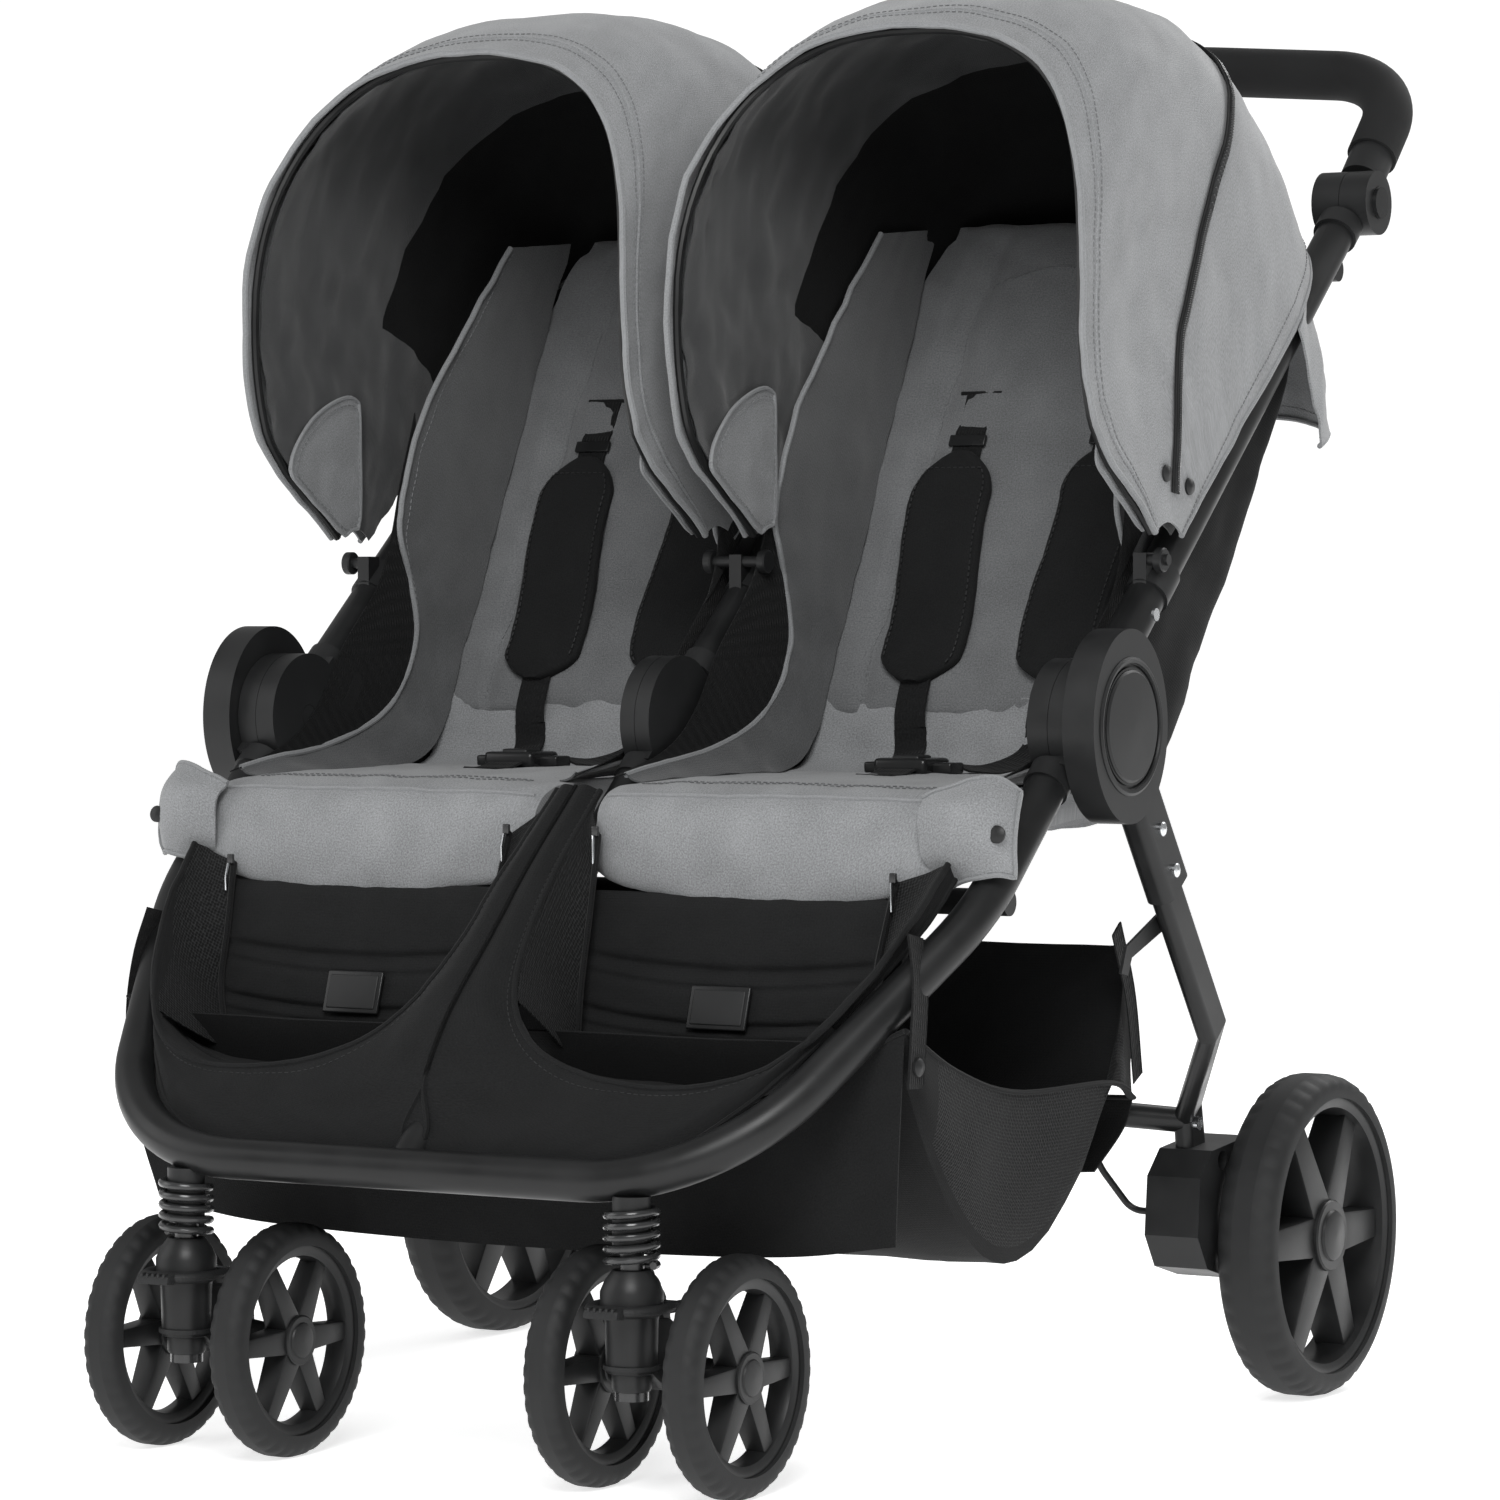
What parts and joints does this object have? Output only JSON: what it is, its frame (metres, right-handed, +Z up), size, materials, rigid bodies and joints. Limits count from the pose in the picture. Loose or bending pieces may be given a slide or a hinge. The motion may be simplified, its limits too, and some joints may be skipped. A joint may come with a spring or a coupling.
{
  "type": "twin stroller",
  "caption": "Side-by-side twin stroller with folding tube frame, swivel twin-wheel casters, large rear wheels, reclining seats, folding canopies, basket and tilting handle.",
  "frame": {"origin": "on the floor under the middle of the length and width", "axes": "+X across the width, +Y from front to rear, +Z up; the front casters are towards -Y"},
  "size_m": [0.746, 0.946, 1.009],
  "materials": {
    "frame_black": "semi-gloss black powder coat",
    "hub_black": "fine-grained moulded plastic",
    "wheel_rim": "satin moulded plastic",
    "tyre": "matt foam rubber",
    "fabric_grey": "grey melange weave",
    "fabric_black": "black polyester weave",
    "mesh_black": "black open mesh",
    "webbing_black": "woven webbing",
    "foam_grip": "soft foam",
    "spring_steel": "gloss black spring",
    "steel": "bright zinc steel",
    "buckle_black": "gloss black plastic",
    "cable_black": "black cable sheath"
  },
  "bodies": {
    "front_frame": {"front_frame_tube": "frame_black", "inner_frame_tubes": "frame_black", "front_hinge_hubs": "hub_black", "hinge_pins": "steel", "caster_sockets": "hub_black", "suspension_spring_left": "spring_steel", "suspension_spring_right": "spring_steel", "seat_pad_left": "fabric_grey", "seat_pad_right": "fabric_grey", "calf_rest_left": "fabric_black", "calf_rest_right": "fabric_black", "harness_buckle_left": "buckle_black", "harness_buckle_right": "buckle_black", "footwell_cover": "fabric_black", "basket": "fabric_black"},
    "rear_frame": {"rear_leg_left": "frame_black", "rear_leg_right": "frame_black", "hinge_cover_left": "hub_black", "hinge_cover_right": "hub_black", "rear_crossbar": "frame_black", "brake_housing_left": "hub_black", "brake_housing_right": "hub_black", "rear_rivets": "steel", "brake_cable": "cable_black"},
    "push_frame": {"push_tube_left": "frame_black", "push_tube_right": "frame_black", "push_inner_tubes": "frame_black", "push_hinge_hubs": "hub_black", "push_rivets": "steel", "canopy_clips": "hub_black", "canopy_fabric_left": "fabric_grey", "canopy_fabric_right": "fabric_grey", "handle_bases": "hub_black"},
    "handlebar": {"handle_heads": "hub_black", "handle_tube": "frame_black", "handle_grip": "foam_grip"},
    "handle_button_left": {"handle_button_left": "hub_black"},
    "canopy_bow_left": {"canopy_bow_left": "frame_black"},
    "backrest_left": {"backrest_left": "fabric_grey", "harness_left": "webbing_black"},
    "caster_stem_left": {"caster_stem_left": "frame_black"},
    "caster_body_left": {"caster_body_left": "hub_black"},
    "swivel_lock_left": {"swivel_lock_left": "hub_black"},
    "caster_wheel_inner_left": {"caster_wheel_inner_left": "tyre"},
    "caster_wheel_outer_left": {"caster_wheel_outer_left": "tyre"},
    "rear_wheel_left": {"rear_tyre_left": "tyre", "rear_rim_left": "wheel_rim"},
    "handle_button_right": {"handle_button_right": "hub_black"},
    "canopy_bow_right": {"canopy_bow_right": "frame_black"},
    "backrest_right": {"backrest_right": "fabric_grey", "harness_right": "webbing_black"},
    "caster_stem_right": {"caster_stem_right": "frame_black"},
    "caster_body_right": {"caster_body_right": "hub_black"},
    "swivel_lock_right": {"swivel_lock_right": "hub_black"},
    "caster_wheel_inner_right": {"caster_wheel_inner_right": "tyre"},
    "caster_wheel_outer_right": {"caster_wheel_outer_right": "tyre"},
    "rear_wheel_right": {"rear_tyre_right": "tyre", "rear_rim_right": "wheel_rim"},
    "brake_pedal": {"brake_pedal": "hub_black"},
    "fold_latch": {"fold_latch": "spring_steel"}
  },
  "joints": [
    {"name": "fold", "type": "hinge", "parent": "front_frame", "child": "push_frame", "pos_m": [0, -0.098, 0.493], "axis": [-1, 0, 0], "range_deg": [0, 110], "deforming": ["basket"]},
    {"name": "rear_legs_fold", "type": "hinge", "parent": "front_frame", "child": "rear_frame", "pos_m": [0, -0.098, 0.493], "axis": [-1, 0, 0], "range_deg": [0, 55]},
    {"name": "handle_tilt", "type": "hinge", "parent": "push_frame", "child": "handlebar", "pos_m": [0, 0.35, 0.874], "axis": [1, 0, 0], "range_deg": [-40, 40]},
    {"name": "handle_button_left_press", "type": "slide", "parent": "handlebar", "child": "handle_button_left", "axis": [1, 0, 0], "range_m": [0, 0.004], "stiffness_N_per_m": 800},
    {"name": "handle_button_right_press", "type": "slide", "parent": "handlebar", "child": "handle_button_right", "axis": [-1, 0, 0], "range_m": [0, 0.004], "stiffness_N_per_m": 800},
    {"name": "canopy_left_fold", "type": "hinge", "parent": "push_frame", "child": "canopy_bow_left", "pos_m": [-0.181, 0, 0.606], "axis": [-1, 0, 0], "range_deg": [0, 58], "deforming": ["canopy_fabric_left"]},
    {"name": "canopy_right_fold", "type": "hinge", "parent": "push_frame", "child": "canopy_bow_right", "pos_m": [0.181, 0, 0.606], "axis": [-1, 0, 0], "range_deg": [0, 58], "deforming": ["canopy_fabric_right"]},
    {"name": "backrest_left_recline", "type": "hinge", "parent": "push_frame", "child": "backrest_left", "pos_m": [-0.163, 0.045, 0.455], "axis": [1, 0, 0], "range_deg": [-28, 0]},
    {"name": "backrest_right_recline", "type": "hinge", "parent": "push_frame", "child": "backrest_right", "pos_m": [0.163, 0.045, 0.455], "axis": [1, 0, 0], "range_deg": [-28, 0]},
    {"name": "suspension_left", "type": "slide", "parent": "front_frame", "child": "caster_stem_left", "axis": [0, 0, 1], "range_m": [0, 0.01], "stiffness_N_per_m": 9000, "springref_m": -0.01, "deforming": ["suspension_spring_left"]},
    {"name": "caster_swivel_left", "type": "hinge", "parent": "caster_stem_left", "child": "caster_body_left", "pos_m": [-0.176, -0.433, 0.1], "axis": [0, 0, 1], "continuous": true},
    {"name": "swivel_lock_left_lift", "type": "hinge", "parent": "caster_body_left", "child": "swivel_lock_left", "pos_m": [-0.176, -0.412, 0.126], "axis": [-1, 0, 0], "range_deg": [0, 12]},
    {"name": "caster_wheel_inner_left_spin", "type": "hinge", "parent": "caster_body_left", "child": "caster_wheel_inner_left", "pos_m": [-0.124, -0.388, 0.079], "axis": [1, 0, 0], "continuous": true},
    {"name": "caster_wheel_outer_left_spin", "type": "hinge", "parent": "caster_body_left", "child": "caster_wheel_outer_left", "pos_m": [-0.228, -0.388, 0.079], "axis": [1, 0, 0], "continuous": true},
    {"name": "suspension_right", "type": "slide", "parent": "front_frame", "child": "caster_stem_right", "axis": [0, 0, 1], "range_m": [0, 0.01], "stiffness_N_per_m": 9000, "springref_m": -0.01, "deforming": ["suspension_spring_right"]},
    {"name": "caster_swivel_right", "type": "hinge", "parent": "caster_stem_right", "child": "caster_body_right", "pos_m": [0.176, -0.433, 0.1], "axis": [0, 0, 1], "continuous": true},
    {"name": "swivel_lock_right_lift", "type": "hinge", "parent": "caster_body_right", "child": "swivel_lock_right", "pos_m": [0.176, -0.412, 0.126], "axis": [-1, 0, 0], "range_deg": [0, 12]},
    {"name": "caster_wheel_inner_right_spin", "type": "hinge", "parent": "caster_body_right", "child": "caster_wheel_inner_right", "pos_m": [0.124, -0.388, 0.079], "axis": [1, 0, 0], "continuous": true},
    {"name": "caster_wheel_outer_right_spin", "type": "hinge", "parent": "caster_body_right", "child": "caster_wheel_outer_right", "pos_m": [0.228, -0.388, 0.079], "axis": [1, 0, 0], "continuous": true},
    {"name": "rear_wheel_left_spin", "type": "hinge", "parent": "rear_frame", "child": "rear_wheel_left", "pos_m": [-0.351, 0.222, 0.117], "axis": [1, 0, 0], "continuous": true},
    {"name": "rear_wheel_right_spin", "type": "hinge", "parent": "rear_frame", "child": "rear_wheel_right", "pos_m": [0.351, 0.222, 0.117], "axis": [1, 0, 0], "continuous": true},
    {"name": "brake_pedal_press", "type": "hinge", "parent": "rear_frame", "child": "brake_pedal", "pos_m": [0.267, 0.172, 0.152], "axis": [-1, 0, 0], "range_deg": [0, 18]},
    {"name": "fold_latch_swing", "type": "hinge", "parent": "rear_frame", "child": "fold_latch", "pos_m": [0.3405, 0.00119, 0.3574], "axis": [-1, 0, 0], "range_deg": [0, 30]}
  ],
  "couplings": [
    {"joint": "rear_legs_fold", "follows": "fold", "ratio": 0.5}
  ]
}
